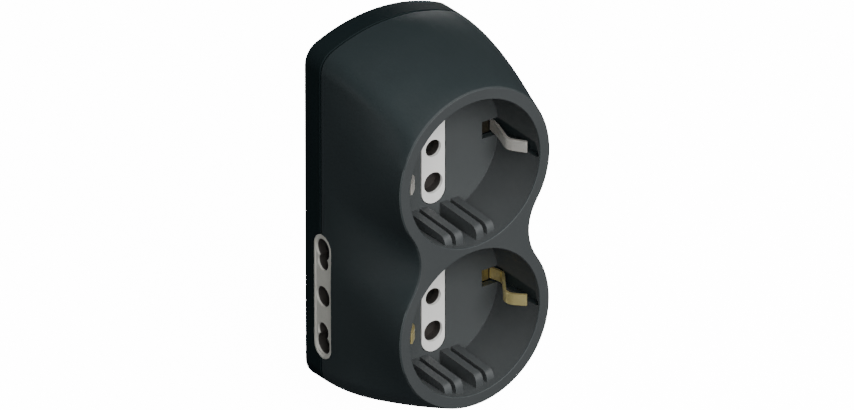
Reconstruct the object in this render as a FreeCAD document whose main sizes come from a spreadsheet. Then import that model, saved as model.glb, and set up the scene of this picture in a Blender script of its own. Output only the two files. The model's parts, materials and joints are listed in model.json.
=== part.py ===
"""Multi-way plug adapter: two round recessed sockets in front, a flat outlet on each side, three pins behind.

Millimetres.  The origin is where the earth pin leaves the centre of the back face.  +Z is up along the long
axis, the sockets look towards -Y and the pins point to +Y.
"""
import FreeCAD
import Part
import math
import os
import re
import Sketcher

os.makedirs("parts", exist_ok=True)
doc = FreeCAD.newDocument("PlugAdapter")
Vector = FreeCAD.Vector

SIZES = [
    ("housing_depth", 40.9, "front face to back face"),
    ("cover_depth", 6.9, "parting line to back face"),
    ("body_half_width", 22.2, "half the width at the back"),
    ("body_half_height", 49.85, "half the height at the back"),
    ("crown_radius", 45.5, "radius of the arched ends"),
    ("corner_radius", 6.0, "radius of the back corners"),
    ("socket_pitch", 40.9, "distance between the two recesses"),
    ("ring_radius", 22.8, "outer radius of each round front lobe"),
    ("waist_half_width", 16.5, "half the width of the front's waist"),
    ("side_bulge", 1.8, "how late the sides draw in, 1 is straight"),
    ("wall", 2.2, "housing wall"),
    ("front_wall", 3.0, "wall behind the front ring face"),
    ("edge_break", 0.35, "small chamfer on the front edges"),
    ("mouth_break", 0.15, "small chamfer round the mouth of a recess"),
    ("seam_break", 0.15, "small chamfer on both edges of the parting groove"),
    ("seam_gap", 0.5, "shadow gap at the parting line"),
    ("tongue_wall", 0.9, "wall of the cover's tongue"),
    ("tongue_reach", 2.0, "how far the tongue reaches into the shell"),
    ("fit_gap", 0.15, "clearance round seated plastic pieces"),
    ("touch_gap", 0.05, "clearance between faces that seat on each other"),
    ("recess_radius", 19.7, "radius of the round recess"),
    ("recess_depth", 17.5, "front face to recess floor"),
    ("cup_wall", 1.3, "wall of the recess cup"),
    ("floor_thickness", 2.0, "recess floor"),
    ("rib_offset", 4.73, "recess centre line to the slot of a rib pair"),
    ("rib_slot", 1.1, "slot between the two ribs of a pair"),
    ("rib_width", 2.2, "width of one rib"),
    ("rib_level_back", 15.3, "rib top to recess centre at the floor"),
    ("rib_level_front", 16.2, "rib top to recess centre at the front"),
    ("rib_setback", 2.3, "lower ribs' ends behind the front face"),
    ("top_rib_setback", 8.2, "upper ribs' ends behind the front face"),
    ("rib_nose", 2.0, "rounding of the rib's front end"),
    ("window_inner", 14.8, "centre line to the clip window's inner edge"),
    ("window_outer", 21.5, "centre line to the clip pocket's bottom"),
    ("window_top", 2.9, "recess centre to the clip window's top at the floor"),
    ("window_bottom", 1.9, "recess centre to the clip window's bottom"),
    ("window_end_top", 2.15, "recess centre to the window's top at its front end"),
    ("window_end_bottom", 1.3, "recess centre to the low corner of the window's front end"),
    ("window_top_setback", 2.0, "top of the window's slanted end behind the front face"),
    ("window_low_setback", 0.5, "low corner of the window's slanted end behind the front face"),
    ("window_heel", 1.7, "how far behind that corner the window's bottom is level"),
    ("insert_width", 7.0, "width of the pale outlet inserts"),
    ("front_insert_length", 30.0, "length of the inserts in the recesses"),
    ("side_insert_length", 34.0, "length of the inserts in the sides"),
    ("insert_gap", 0.25, "shadow gap round the front inserts"),
    ("insert_flange", 1.2, "how far the hidden flange overlaps its seat"),
    ("flange_thickness", 0.8, "thickness of the hidden flange"),
    ("side_outlet_setback", 7.4, "side outlet centre to the back face"),
    ("side_insert_sink", 0.1, "side insert face under the widest point"),
    ("side_insert_rim", 0.55, "width of the raised rim round a side insert"),
    ("side_insert_dish", 0.2, "depth of the side insert's face inside its rim"),
    ("small_hole_radius", 2.3, "earth hole of the front inserts"),
    ("large_hole_radius", 2.8, "line holes of the front inserts"),
    ("contact_pitch", 9.5, "earth hole to line hole in front"),
    ("side_earth_radius", 2.75, "earth hole of the side inserts"),
    ("keyhole_small_radius", 2.2, "inner lobe of the side keyholes"),
    ("keyhole_large_radius", 2.8, "outer lobe of the side keyholes"),
    ("wide_pitch", 13.0, "earth pin to line pin, wide pattern"),
    ("clip_thickness", 0.7, "earth clip strip"),
    ("clip_width", 3.0, "earth clip strip width"),
    ("clip_root", 19.3, "centre line to the clip's root"),
    ("clip_root_setback", 0.35, "clip root behind the recess floor's back"),
    ("clip_bend", 3.0, "bend radius of the clips"),
    ("flat_clip_shoulder", 18.5, "centre line to the flat clip's shoulder"),
    ("flat_clip_shoulder_depth", 15.8, "front face to the flat clip's shoulder"),
    ("flat_clip_knee", 16.15, "centre line to the flat clip's crest"),
    ("flat_clip_knee_depth", 8.8, "front face to the flat clip's crest"),
    ("flat_clip_tip", 18.9, "centre line to the flat clip's tip"),
    ("flat_clip_tip_depth", 4.8, "front face to the flat clip's tip"),
    ("deep_clip_shoulder", 20.2, "centre line to a deep clip's shoulder"),
    ("deep_clip_shoulder_depth", 16.0, "front face to a deep clip's shoulder"),
    ("deep_clip_knee", 13.7, "centre line to a deep clip's crest"),
    ("deep_clip_knee_depth", 6.3, "front face to a deep clip's crest"),
    ("deep_clip_tip", 17.4, "centre line to a deep clip's tip"),
    ("deep_clip_tip_depth", 2.75, "front face to a deep clip's tip"),
    ("strap_half_width", 2.0, "half the width of an earth strap"),
    ("strap_thickness", 0.8, "earth strap sheet"),
    ("strap_arm", 18.9, "centre line to the outside of a strap arm"),
    ("strap_tab", 3.6, "tab of the strap behind the clip window"),
    ("strap_setback", 11.4, "strap back face to the back face"),
    ("bar_thickness", 0.6, "bus bar sheet"),
    ("bar_inner", 3.1, "centre line to the inner edge of a bus bar"),
    ("bar_width", 2.3, "width of a bus bar"),
    ("bar_setback", 12.7, "bus bar back face to the back face"),
    ("bridge_setback", 11.7, "bus bar bridge back face to the back face"),
    ("bridge_half_length", 14.5, "half the length of a bus bar's bridge"),
    ("carrier_half_width", 6.5, "half the width of a front carrier"),
    ("carrier_half_length", 17.0, "half the length of a contact carrier"),
    ("shutter_gap", 0.15, "play in front of and behind a shutter"),
    ("shutter_thickness", 1.1, "shutter plate"),
    ("shutter_hub_wall", 1.3, "wall of the shutter's hub"),
    ("shutter_wing_half", 3.0, "half the width of a shutter wing"),
    ("shutter_reach", 12.4, "shutter centre to the wing's end"),
    ("hub_tube_radius", 3.45, "carrier tube that the shutter turns on"),
    ("hub_gap", 0.1, "running clearance of the shutter's hub"),
    ("spring_radius", 4.25, "mean radius of the shutter spring"),
    ("spring_wire", 0.4, "wire of the shutter spring"),
    ("spring_pitch", 0.55, "pitch of the shutter spring"),
    ("spring_turns", 3.0, "turns of the shutter spring"),
    ("spring_groove", 2.1, "depth of the groove that holds the spring"),
    ("contact_bore", 2.45, "inside radius of a contact sleeve"),
    ("contact_wall", 0.55, "wall of a contact sleeve"),
    ("side_carrier_inner", 4.6, "centre line to a side carrier"),
    ("side_carrier_half_depth", 3.2, "half the depth of a side carrier"),
    ("side_contact_inner", 8.0, "centre line to a side contact"),
    ("side_contact_length", 7.0, "length of a side contact"),
    ("leaf_gap", 2.55, "side contact leaf to the pin's axis"),
    ("leaf_thickness", 0.4, "leaf of a side contact"),
    ("tail_half", 1.1, "half the width of a contact's tail"),
    ("pin_radius", 2.5, "plug pin"),
    ("pin_root_step", 0.2, "how much thicker a pin is inside the back wall"),
    ("pin_length", 19.0, "plug pin outside the back face"),
    ("pin_tip", 0.9, "chamfer of the pin's tip"),
    ("pin_collar_radius", 3.3, "collar inside the cover"),
    ("pin_collar", 1.0, "thickness of the collar"),
    ("pin_neck_radius", 2.05, "line pin under its sleeve"),
    ("sleeve_length", 10.0, "insulating sleeve of a line pin"),
    ("post_offset", 10.0, "screw post from the centre line"),
    ("post_height", 43.05, "screw post from the middle"),
    ("post_radius", 2.6, "screw post"),
    ("post_length", 15.0, "screw post into the shell"),
    ("screw_radius", 1.2, "screw shank"),
    ("screw_gap", 0.05, "play of the screw in its post"),
    ("screw_length", 11.0, "screw under its head"),
    ("screw_head_radius", 2.5, "screw head"),
    ("screw_head", 1.5, "height of the screw head"),
    ("screw_sink", 1.9, "screw head's seat under the back face"),
    ("drive_width", 0.6, "slot of the cross drive"),
    ("drive_depth", 0.8, "depth of the cross drive"),
    ("boss_wall", 1.2, "wall round the screw head's counterbore"),
    ("back_edge_radius", 0.5, "rounding of the back edge"),
]

sheet = doc.addObject("Spreadsheet::Sheet", "Sizes")
for row, (alias, number, note) in enumerate(SIZES, start=1):
    sheet.set("A%d" % row, note)
    sheet.set("B%d" % row, str(number))
    sheet.setAlias("B%d" % row, alias)
doc.recompute()

ALIAS = re.compile(r"\b(" + "|".join(alias for alias, number, note in SIZES) + r")\b")


def size(alias):
    """One driving size, read from the sheet."""
    return float(sheet.get(alias))


def linked(text):
    """An expression on the sheet's sizes."""
    return ALIAS.sub(r"Sizes.\1", str(text))


FRONT = "-housing_depth"
SEAM = "-cover_depth"
FLOOR = "-housing_depth + recess_depth"
FLOOR_BACK = "-housing_depth + recess_depth + floor_thickness"
FLANGE_FRONT = FLOOR_BACK + " + touch_gap"
FLANGE_BACK = FLANGE_FRONT + " + flange_thickness"
SHUTTER_FRONT = FLANGE_BACK + " + shutter_gap"
SHUTTER_BACK = SHUTTER_FRONT + " + shutter_thickness"
CARRIER_FRONT = SHUTTER_BACK + " + shutter_gap"
BAR_FRONT = "-bar_setback - bar_thickness"
CARRIER_BACK = BAR_FRONT + " - touch_gap"
STRAP_FRONT = "-strap_setback - strap_thickness"
SIDE_CENTRE = "-side_outlet_setback"
SIDE_LEVEL = "-socket_pitch / 2"
SIDE_WALL_INSIDE = "body_half_width - wall"
COVER_INSIDE = "-wall"
HALF_PITCH = "socket_pitch / 2"

nodes = {}


def keep(node, piece):
    """Name a finished sub-part."""
    piece.Label = node
    nodes[node] = piece
    return piece


def block(name, x, y, z):
    """A box between low and high values along each axis."""
    box = doc.addObject("Part::Box", name)
    for side, axis, (low, high) in zip(("Length", "Width", "Height"), "xyz", (x, y, z)):
        box.setExpression(side, linked("(%s) - (%s)" % (high, low)))
        box.setExpression("Placement.Base." + axis, linked(low))
    return box


TURNS = {
    "x": FreeCAD.Rotation(Vector(0, 1, 0), 90),
    "y": FreeCAD.Rotation(Vector(1, 0, 0), -90),
    "z": FreeCAD.Rotation(),
}


def place(piece, x, y, z):
    """Bind a piece's base point to expressions."""
    for axis, text in zip("xyz", (x, y, z)):
        piece.setExpression("Placement.Base." + axis, linked(text))


def rod(name, axis, centre, span, radius):
    """A cylinder along an axis; centre is a point on its axis and span its low and high ends."""
    piece = doc.addObject("Part::Cylinder", name)
    piece.Placement = FreeCAD.Placement(Vector(), TURNS[axis])
    piece.setExpression("Radius", linked(radius))
    piece.setExpression("Height", linked("(%s) - (%s)" % (span[1], span[0])))
    base = dict(zip("xyz", centre))
    base[axis] = span[0]
    place(piece, base["x"], base["y"], base["z"])
    return piece


def join(name, *pieces, refine=True):
    """Fuse pieces that are moulded or formed in one."""
    fused = doc.addObject("Part::MultiFuse", name)
    fused.Shapes = list(pieces)
    fused.Refine = refine
    return fused


def cut(name, base, *tools, refine=True):
    """Take tools away from a base."""
    tool = tools[0] if len(tools) == 1 else join(name + "_tools", *tools, refine=False)
    result = doc.addObject("Part::Cut", name)
    result.Base = base
    result.Tool = tool
    result.Refine = refine
    return result


def mirrored(name, source, normal, base=("0", "0", "0")):
    """A mirror image of a piece about a plane through base."""
    twin = doc.addObject("Part::Mirroring", name)
    twin.Source = source
    twin.Normal = normal
    for axis, text in zip("xyz", base):
        twin.setExpression("Base." + axis, linked(text))
    return twin


def slot(name, axis, centre, span, width, length):
    """A plate with round ends, long along Z, whose thickness lies along an axis."""
    x, y, z = centre
    reach = "((%s) - (%s)) / 2" % (length, width)
    low, high = "(%s) - %s" % (z, reach), "(%s) + %s" % (z, reach)
    half = "(%s) / 2" % width
    if axis == "x":
        middle = block(name + "_middle", span, ("(%s) - %s" % (y, half), "(%s) + %s" % (y, half)), (low, high))
    else:
        middle = block(name + "_middle", ("(%s) - %s" % (x, half), "(%s) + %s" % (x, half)), span, (low, high))
    ends = [rod(name + "_end%d" % i, axis, (x, y, end), span, half) for i, end in enumerate((low, high))]
    return join(name, middle, *ends)


def polygon(sketch, points):
    """A closed outline whose corners are bound to expressions."""
    count = len(points)
    for index in range(count):
        first = 2 * math.pi * index / count
        second = 2 * math.pi * (index + 1) / count
        start = Vector(math.cos(first), math.sin(first), 0)
        end = Vector(math.cos(second), math.sin(second), 0)
        sketch.addGeometry(Part.LineSegment(start, end), False)
    for index in range(count):
        sketch.addConstraint(Sketcher.Constraint("Coincident", index, 2, (index + 1) % count, 1))
    for index, corner in enumerate(points):
        angle = 2 * math.pi * index / count
        guess = (math.cos(angle), math.sin(angle))
        for kind, text, number in zip(("DistanceX", "DistanceY"), corner, guess):
            which = sketch.addConstraint(Sketcher.Constraint(kind, -1, 1, index, 1, number))
            sketch.setExpression("Constraints[%d]" % which, linked(text))


PLANES = {
    "x": FreeCAD.Rotation(Vector(0, 1, 0), Vector(0, 0, 1), Vector(1, 0, 0), "XYZ"),
    "y": FreeCAD.Rotation(Vector(0, 0, 1), Vector(1, 0, 0), Vector(0, 1, 0), "XYZ"),
    "z": FreeCAD.Rotation(),
}


def prism(name, axis, points, span):
    """An outline pushed along an axis; its points are (y, z), (z, x) or (x, y) for axis x, y or z."""
    sketch = doc.addObject("Sketcher::SketchObject", name + "_outline")
    sketch.Placement = FreeCAD.Placement(Vector(), PLANES[axis])
    sketch.setExpression("Placement.Base." + axis, linked(span[0]))
    polygon(sketch, points)
    push = doc.addObject("Part::Extrusion", name)
    push.Base = sketch
    push.DirMode = "Custom"
    push.Dir = {"x": Vector(1, 0, 0), "y": Vector(0, 1, 0), "z": Vector(0, 0, 1)}[axis]
    push.setExpression("LengthFwd", linked("(%s) - (%s)" % (span[1], span[0])))
    push.Solid = True
    return push


def turned(node, points, base, turn=None):
    """A body of revolution: (radius, distance along +Y) points, spun about the body's Y axis."""
    body = doc.addObject("PartDesign::Body", node)
    plane = [f for f in body.Origin.OriginFeatures if f.Role == "XY_Plane"][0]
    sketch = body.newObject("Sketcher::SketchObject", node + "_profile")
    sketch.AttachmentSupport = [(plane, "")]
    sketch.MapMode = "FlatFace"
    polygon(sketch, points)
    spin = body.newObject("PartDesign::Revolution", node + "_turning")
    spin.Profile = sketch
    spin.ReferenceAxis = (sketch, ["V_Axis"])
    spin.Angle = 360
    body.Tip = spin
    if turn is not None:
        body.Placement = FreeCAD.Placement(Vector(), turn)
    place(body, *base)
    return body


def sided(side, inner, outer):
    """Low and high X of something between two distances from the centre line, on one side."""
    if side > 0:
        return (inner, outer)
    return ("-(%s)" % outer, "-(%s)" % inner)


# Housing outlines, worked out along rays from the middle of the adapter

TOLERANCE = 1e-5
RAYS_PER_QUARTER = 24
SKIN_SECTIONS = 5
TRACE_STEPS = 720


def ray_to_circle(angle, centre_x, centre_z, radius, far=True):
    """Distance along a ray from the middle to a circle."""
    along = centre_x * math.cos(angle) + centre_z * math.sin(angle)
    power = centre_x ** 2 + centre_z ** 2 - radius ** 2
    root = math.sqrt(along ** 2 - power)
    return along + root if far else along - root


def back_corner(inset):
    """Radii and centres of the back outline's crown and corner, drawn in by inset."""
    crown = size("crown_radius") - inset
    corner = size("corner_radius") - inset
    crown_z = size("body_half_height") - size("crown_radius")
    corner_x = size("body_half_width") - size("corner_radius")
    corner_z = crown_z + math.sqrt((crown - corner) ** 2 - corner_x ** 2)
    return crown, crown_z, corner, corner_x, corner_z


def back_wire(y, inset):
    """The back outline drawn in by inset: straight sides, round corners and arched ends."""
    crown, crown_z, corner, corner_x, corner_z = back_corner(inset)
    lean = math.atan2(corner_z - crown_z, corner_x)
    side = (corner_x + corner, corner_z)
    middle = (corner_x + corner * math.cos(lean / 2), corner_z + corner * math.sin(lean / 2))
    meeting = (crown * math.cos(lean), crown_z + crown * math.sin(lean))

    def spot(across, along, place):
        return Vector(across * place[0], y, along * place[1])

    edges = [Part.LineSegment(spot(across, -1, side), spot(across, 1, side)).toShape() for across in (1, -1)]
    for along in (1, -1):
        summit = Vector(0, y, along * (crown_z + crown))
        edges.append(Part.Arc(spot(1, along, meeting), summit, spot(-1, along, meeting)).toShape())
        for across in (1, -1):
            bend = Part.Arc(spot(across, along, side), spot(across, along, middle), spot(across, along, meeting))
            edges.append(bend.toShape())
    return Part.Wire(Part.__sortEdges__(edges))


def back_reach(angle, inset):
    """Distance along a ray from the middle to the back outline."""
    half_width = size("body_half_width") - inset
    crown, crown_z, corner, corner_x, corner_z = back_corner(inset)
    if angle < math.atan2(corner_z, half_width):
        return half_width / math.cos(angle)
    meeting = crown / (crown - corner)
    meeting_angle = math.atan2(crown_z + (corner_z - crown_z) * meeting, corner_x * meeting)
    if angle <= meeting_angle:
        return ray_to_circle(angle, corner_x, corner_z, corner)
    return ray_to_circle(angle, 0, crown_z, crown)


def front_reach(angle, inset):
    """The front outline: two round lobes joined by a hollow waist."""
    lobe = size("ring_radius") - inset
    lobe_z = size("socket_pitch") / 2
    waist = size("waist_half_width") - inset
    hollow = (waist ** 2 + lobe_z ** 2 - lobe ** 2) / (2 * (lobe - waist))
    meeting_z = lobe_z * hollow / (hollow + lobe)
    reach = ray_to_circle(angle, 0, lobe_z, lobe)
    if reach * math.sin(angle) >= meeting_z:
        return reach
    return ray_to_circle(angle, waist + hollow, 0, hollow, far=False)


def even_rays():
    """Ray angles over a quarter turn that are evenly spaced along the back outline."""
    traced = [0.0]
    angles = [0.0]
    x, z = size("body_half_width"), 0.0
    for step in range(1, TRACE_STEPS + 1):
        angle = math.pi / 2 * step / TRACE_STEPS
        reach = back_reach(angle, 0)
        next_x, next_z = reach * math.cos(angle), reach * math.sin(angle)
        traced.append(traced[-1] + math.hypot(next_x - x, next_z - z))
        angles.append(angle)
        x, z = next_x, next_z
    spaced = []
    step = 0
    for ray in range(RAYS_PER_QUARTER):
        wanted = traced[-1] * ray / RAYS_PER_QUARTER
        while traced[step + 1] < wanted:
            step += 1
        share = (wanted - traced[step]) / (traced[step + 1] - traced[step])
        spaced.append(angles[step] + share * (angles[step + 1] - angles[step]))
    return spaced


def outline(share, y, inset):
    """A closed wire between the back outline (share 0) and the front outline (share 1)."""
    blend = share ** size("side_bulge")
    quarter = []
    for angle in RAYS + [math.pi / 2]:
        reach = (1 - blend) * back_reach(angle, inset) + blend * front_reach(angle, inset)
        quarter.append((reach * math.cos(angle), reach * math.sin(angle)))
    quarter[-1] = (0.0, quarter[-1][1])
    half = quarter + [(-x, z) for x, z in reversed(quarter[:-1])]
    whole = half + [(x, -z) for x, z in reversed(half[1:-1])]
    points = [Vector(x, y, z) for x, z in whole]
    curve = Part.BSplineCurve()
    curve.interpolate(Points=points, PeriodicFlag=True)
    return Part.Wire(curve.toShape())


RAYS = even_rays()


def skin(y_back, y_front, inset):
    """A solid that follows the housing's outer shape, drawn in by inset, between two depths."""
    seam = -size("cover_depth")
    run = size("housing_depth") - size("cover_depth")
    wires = []
    for step in range(SKIN_SECTIONS):
        y = y_back + (y_front - y_back) * step / (SKIN_SECTIONS - 1)
        wires.append(outline(max(0, (seam - y) / run), y, inset))
    return Part.makeLoft(wires, True, False)


def bevel_band(y_full, y_edge, share, inset):
    """The chamfered rim between a full outline and one drawn in at the edge."""
    return Part.makeLoft([outline(share, y_full, 0), outline(share, y_edge, inset)], True, True)


def edges_at(solid, y):
    """A solid's edges that lie in the plane at y."""
    return [e for e in solid.Edges if all(abs(v.Point.y - y) < TOLERANCE for v in e.Vertexes)
            and abs(e.CenterOfMass.y - y) < TOLERANCE]


def feature(name, shape):
    """A shape that neither a primitive nor a sketch gives."""
    piece = doc.addObject("Part::Feature", name)
    piece.Shape = shape
    return piece


# Front shell

front_y = -size("housing_depth")
seam_y = -size("cover_depth")
shell_back = seam_y - size("seam_gap") / 2
cover_front = seam_y + size("seam_gap") / 2
front_edge = size("edge_break")
seam_edge = size("seam_break")
run = size("housing_depth") - size("cover_depth")
back_share = (seam_y - shell_back + seam_edge) / run
front_share = 1 - front_edge / run


def housing_shell():
    """The outer skin, hollow, with both recess cups, their ribs and every window."""
    outer = join(
        "shell_outer",
        feature("shell_skin", skin(shell_back - seam_edge, front_y + front_edge, 0)),
        feature("shell_back_rim", bevel_band(shell_back - seam_edge, shell_back, back_share, seam_edge)),
        feature("shell_front_rim", bevel_band(front_y + front_edge, front_y, front_share, front_edge)),
        refine=False,
    )
    hollow = feature("shell_hollow", skin(shell_back + 1, front_y + size("front_wall"), size("wall")))
    rebate = feature(
        "shell_rebate",
        outer_plug(shell_back - size("tongue_reach") - size("fit_gap"), shell_back + 1, rebate_inset()),
    )
    shell = cut("shell_walls", outer, hollow, rebate, refine=False)
    cups = [
        rod("cup_%s" % name, "y", ("0", "0", level), (FRONT + " + edge_break", FLOOR_BACK),
            "recess_radius + cup_wall")
        for name, level in SOCKETS
    ]
    posts = [
        rod("post_%d" % i, "y", (x, "0", z),
            (SEAM + " - seam_gap / 2 - touch_gap - post_length", SEAM + " - seam_gap / 2 - touch_gap"),
            "post_radius")
        for i, (x, z) in enumerate(POSTS)
    ]
    body = join("shell_body", shell, *cups, *posts, refine=False)
    tools = []
    for name, level in SOCKETS:
        tools.append(rod("recess_%s" % name, "y", ("0", "0", level), (FRONT + " - 1", FLOOR), "recess_radius"))
        tools.append(mouth_chamfer(name, level))
        tools.append(slot("seat_%s" % name, "y", ("0", "0", level), (FLOOR + " - 1", FLOOR_BACK + " + 1"),
                          "insert_width + 2 * insert_gap", "front_insert_length + 2 * insert_gap"))
        for side in (1, -1):
            tools.append(clip_window("window_%s_%s" % (name, SIDE_NAMES[side]), side, level))
    for i, (x, z) in enumerate(POSTS):
        tools.append(rod("pilot_%d" % i, "y", (x, "0", z),
                         ("-screw_sink - screw_length - 2", SEAM + " + 1"), "screw_radius + screw_gap"))
    for side in (1, -1):
        tools += side_seat("shell_side_seat_%s" % SIDE_NAMES[side], side)
    bored = cut("shell_bored", body, *tools, refine=False)
    return join("front_shell", bored, *rib_sets())


def rebate_inset():
    """How far the shell's wall is left thick outside the tongue."""
    return size("wall") - size("tongue_wall") - size("fit_gap")


def outer_plug(y_low, y_high, inset):
    """A straight plug with the back outline drawn in by inset."""
    face = Part.Face(back_wire(y_low, inset))
    return face.extrude(Vector(0, y_high - y_low, 0))


SOCKETS = (("upper", HALF_PITCH), ("lower", "-" + HALF_PITCH))
SIDE_NAMES = {1: "right", -1: "left"}
POSTS = [(sx + "post_offset", sz + "post_height") for sx in ("", "-") for sz in ("", "-")]


def mouth_chamfer(name, level):
    """The small chamfer round a recess's mouth."""
    cone = doc.addObject("Part::Cone", "mouth_%s" % name)
    cone.Placement = FreeCAD.Placement(Vector(), TURNS["y"])
    cone.setExpression("Radius1", linked("recess_radius + mouth_break"))
    cone.setExpression("Radius2", linked("recess_radius - mouth_break"))
    cone.setExpression("Height", linked("2 * mouth_break"))
    place(cone, "0", FRONT, level)
    return cone


def clip_window(name, side, level):
    """The opening in floor and wall that an earth clip stands in; its front end is slanted."""
    corner = FRONT + " + window_low_setback"
    points = [
        (FLOOR_BACK + " + 1", "(%s) - window_bottom" % level),
        (FLOOR_BACK + " + 1", "(%s) + window_top" % level),
        (FRONT + " + window_top_setback", "(%s) + window_end_top" % level),
        (corner, "(%s) - window_end_bottom" % level),
        (corner + " + window_heel", "(%s) - window_bottom" % level),
    ]
    return prism(name, "x", points, sided(side, "window_inner", "window_outer"))


def side_seat(name, side):
    """The cuts in a side wall that a side insert and its hidden flange sit in."""
    centre = ("0", SIDE_CENTRE, SIDE_LEVEL)
    plate = slot(name, "x", centre, sided(side, SIDE_WALL_INSIDE + " - 1", "body_half_width + 2"),
                 "insert_width + 2 * fit_gap", "side_insert_length + 2 * fit_gap")
    flange = slot(name + "_flange", "x", centre, sided(side, SIDE_WALL_INSIDE + " - 2", SIDE_WALL_INSIDE),
                  "insert_width + insert_flange + 2 * fit_gap",
                  "side_insert_length + 2 * insert_flange + 2 * fit_gap")
    return [plate, flange]


def rib_set(name, level, setback):
    """Two pairs of guide ribs at the bottom of a recess."""
    ribs = []
    end = "%s + %s" % (FRONT, setback)
    for i, inner in enumerate(("rib_offset - rib_slot / 2 - rib_width", "rib_offset + rib_slot / 2")):
        drop = "sqrt(pow(recess_radius + cup_wall / 4; 2) - pow(%s; 2))" % inner
        bottom = "(%s) - %s" % (level, drop)
        for side in (1, -1):
            outer = "%s + rib_width" % inner
            points = [
                (FLOOR + " + floor_thickness / 2", bottom),
                (FLOOR + " + floor_thickness / 2", level + " - rib_level_back"),
                (end + " + rib_nose", level + " - rib_level_front"),
                (end + " + rib_nose / 2", level + " - rib_level_front - rib_nose / 8"),
                (end + " + rib_nose / 7", level + " - rib_level_front - rib_nose / 2"),
                (end, level + " - rib_level_front - rib_nose"),
                (end, bottom),
            ]
            ribs.append(prism("%s_%d_%s" % (name, i, SIDE_NAMES[side]), "x", points,
                              sided(side, inner, outer)))
    return join(name, *ribs)


def rib_sets():
    """The guide ribs at the bottom and top of both recesses."""
    sets = []
    for name, level in SOCKETS:
        sets.append(rib_set("ribs_%s_bottom" % name, level, "rib_setback"))
        short = rib_set("ribs_%s_blank" % name, level, "top_rib_setback")
        sets.append(mirrored("ribs_%s_top" % name, short, Vector(0, 0, 1), ("0", "0", level)))
    return sets


keep("front_shell", housing_shell())


# Back cover

def housing_cover():
    """The shallow back half, with its tongue, screw bosses and pin holes."""
    slab = outer_plug(cover_front, 0, 0)
    eased = slab.makeChamfer(seam_edge, edges_at(slab, cover_front))
    rounded = feature("cover_slab", eased.makeFillet(size("back_edge_radius"), edges_at(eased, 0)))
    tongue = feature("cover_tongue", outer_plug(shell_back - size("tongue_reach"), cover_front + 2 * seam_edge,
                                                size("wall") - size("tongue_wall")))
    hollow = feature("cover_hollow", outer_plug(shell_back - 3 * size("tongue_reach"), -size("wall"),
                                                size("wall")))
    tray = cut("cover_tray", join("cover_outer", rounded, tongue), hollow)
    bosses = [
        rod("boss_%d" % i, "y", (x, "0", z), (SEAM + " - seam_gap / 2", COVER_INSIDE + " + wall / 2"),
            "screw_head_radius + boss_wall")
        for i, (x, z) in enumerate(POSTS)
    ]
    body = join("cover_body", tray, *bosses)
    tools = []
    for i, (x, z) in enumerate(POSTS):
        tools.append(rod("counterbore_%d" % i, "y", (x, "0", z), ("-screw_sink", "1"),
                         "screw_head_radius + fit_gap"))
        tools.append(rod("shank_hole_%d" % i, "y", (x, "0", z), (SEAM + " - 2", "1"),
                         "screw_radius + fit_gap"))
    for name, level in PINS:
        tools.append(rod("%s_hole" % name, "y", ("0", "0", level), ("-wall - 2", "1"),
                         "pin_radius + pin_root_step + touch_gap"))
    for side in (1, -1):
        tools += side_seat("cover_side_seat_%s" % SIDE_NAMES[side], side)
    return cut("back_cover", body, *tools)


PINS = (("line_pin", "wide_pitch"), ("earth_pin", "0"), ("neutral_pin", "-wide_pitch"))
keep("back_cover", housing_cover())


# Pale inserts

def front_insert(name, level):
    """The insert in a recess floor: a plate with an earth hole, two line holes and a hidden flange."""
    plate = slot(name + "_plate", "y", ("0", "0", level), (FLOOR, FLANGE_FRONT + " + flange_thickness / 2"),
                 "insert_width", "front_insert_length")
    flange = slot(name + "_flange", "y", ("0", "0", level), (FLANGE_FRONT, FLANGE_BACK),
                  "insert_width + 2 * insert_flange", "front_insert_length + 2 * insert_flange")
    span = (FLOOR + " - 1", FLANGE_BACK + " + 1")
    holes = [rod(name + "_earth_hole", "y", ("0", "0", level), span, "small_hole_radius")]
    for sign in ("+", "-"):
        centre = ("0", "0", "(%s) %s contact_pitch" % (level, sign))
        holes.append(rod("%s_line_hole_%d" % (name, len(holes)), "y", centre, span, "large_hole_radius"))
    return cut(name, join(name + "_blank", plate, flange), *holes)


def side_insert(name, side):
    """The insert in a side: an earth hole and two keyholes that take narrow and wide pins."""
    flange_out = SIDE_WALL_INSIDE + " - touch_gap"
    flange_in = flange_out + " - flange_thickness"
    plate = slot(name + "_plate", "x", ("0", SIDE_CENTRE, SIDE_LEVEL),
                 sided(side, flange_in, "body_half_width - side_insert_sink"),
                 "insert_width", "side_insert_length")
    flange = slot(name + "_flange", "x", ("0", SIDE_CENTRE, SIDE_LEVEL), sided(side, flange_in, flange_out),
                  "insert_width + insert_flange", "side_insert_length + 2 * insert_flange")
    span = sided(side, flange_in + " - 1", "body_half_width + 1")
    dish = slot(name + "_dish", "x", ("0", SIDE_CENTRE, SIDE_LEVEL),
                sided(side, "body_half_width - side_insert_sink - side_insert_dish", "body_half_width + 1"),
                "insert_width - 2 * side_insert_rim", "side_insert_length - 2 * side_insert_rim")
    holes = [dish, rod(name + "_earth_hole", "x", ("0", SIDE_CENTRE, SIDE_LEVEL), span, "side_earth_radius")]
    for sign in ("+", "-"):
        for reach, radius in (("contact_pitch", "keyhole_small_radius"), ("wide_pitch", "keyhole_large_radius")):
            centre = ("0", SIDE_CENTRE, "%s %s %s" % (SIDE_LEVEL, sign, reach))
            holes.append(rod("%s_lobe_%d" % (name, len(holes)), "x", centre, span, radius))
    return cut(name, join(name + "_blank", plate, flange), *holes)


for socket, level in SOCKETS:
    keep(socket + "_socket_insert", front_insert(socket + "_socket_insert", level))
for side in (-1, 1):
    keep(SIDE_NAMES[side] + "_side_insert", side_insert(SIDE_NAMES[side] + "_side_insert", side))


# Earth clips and straps

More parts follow.
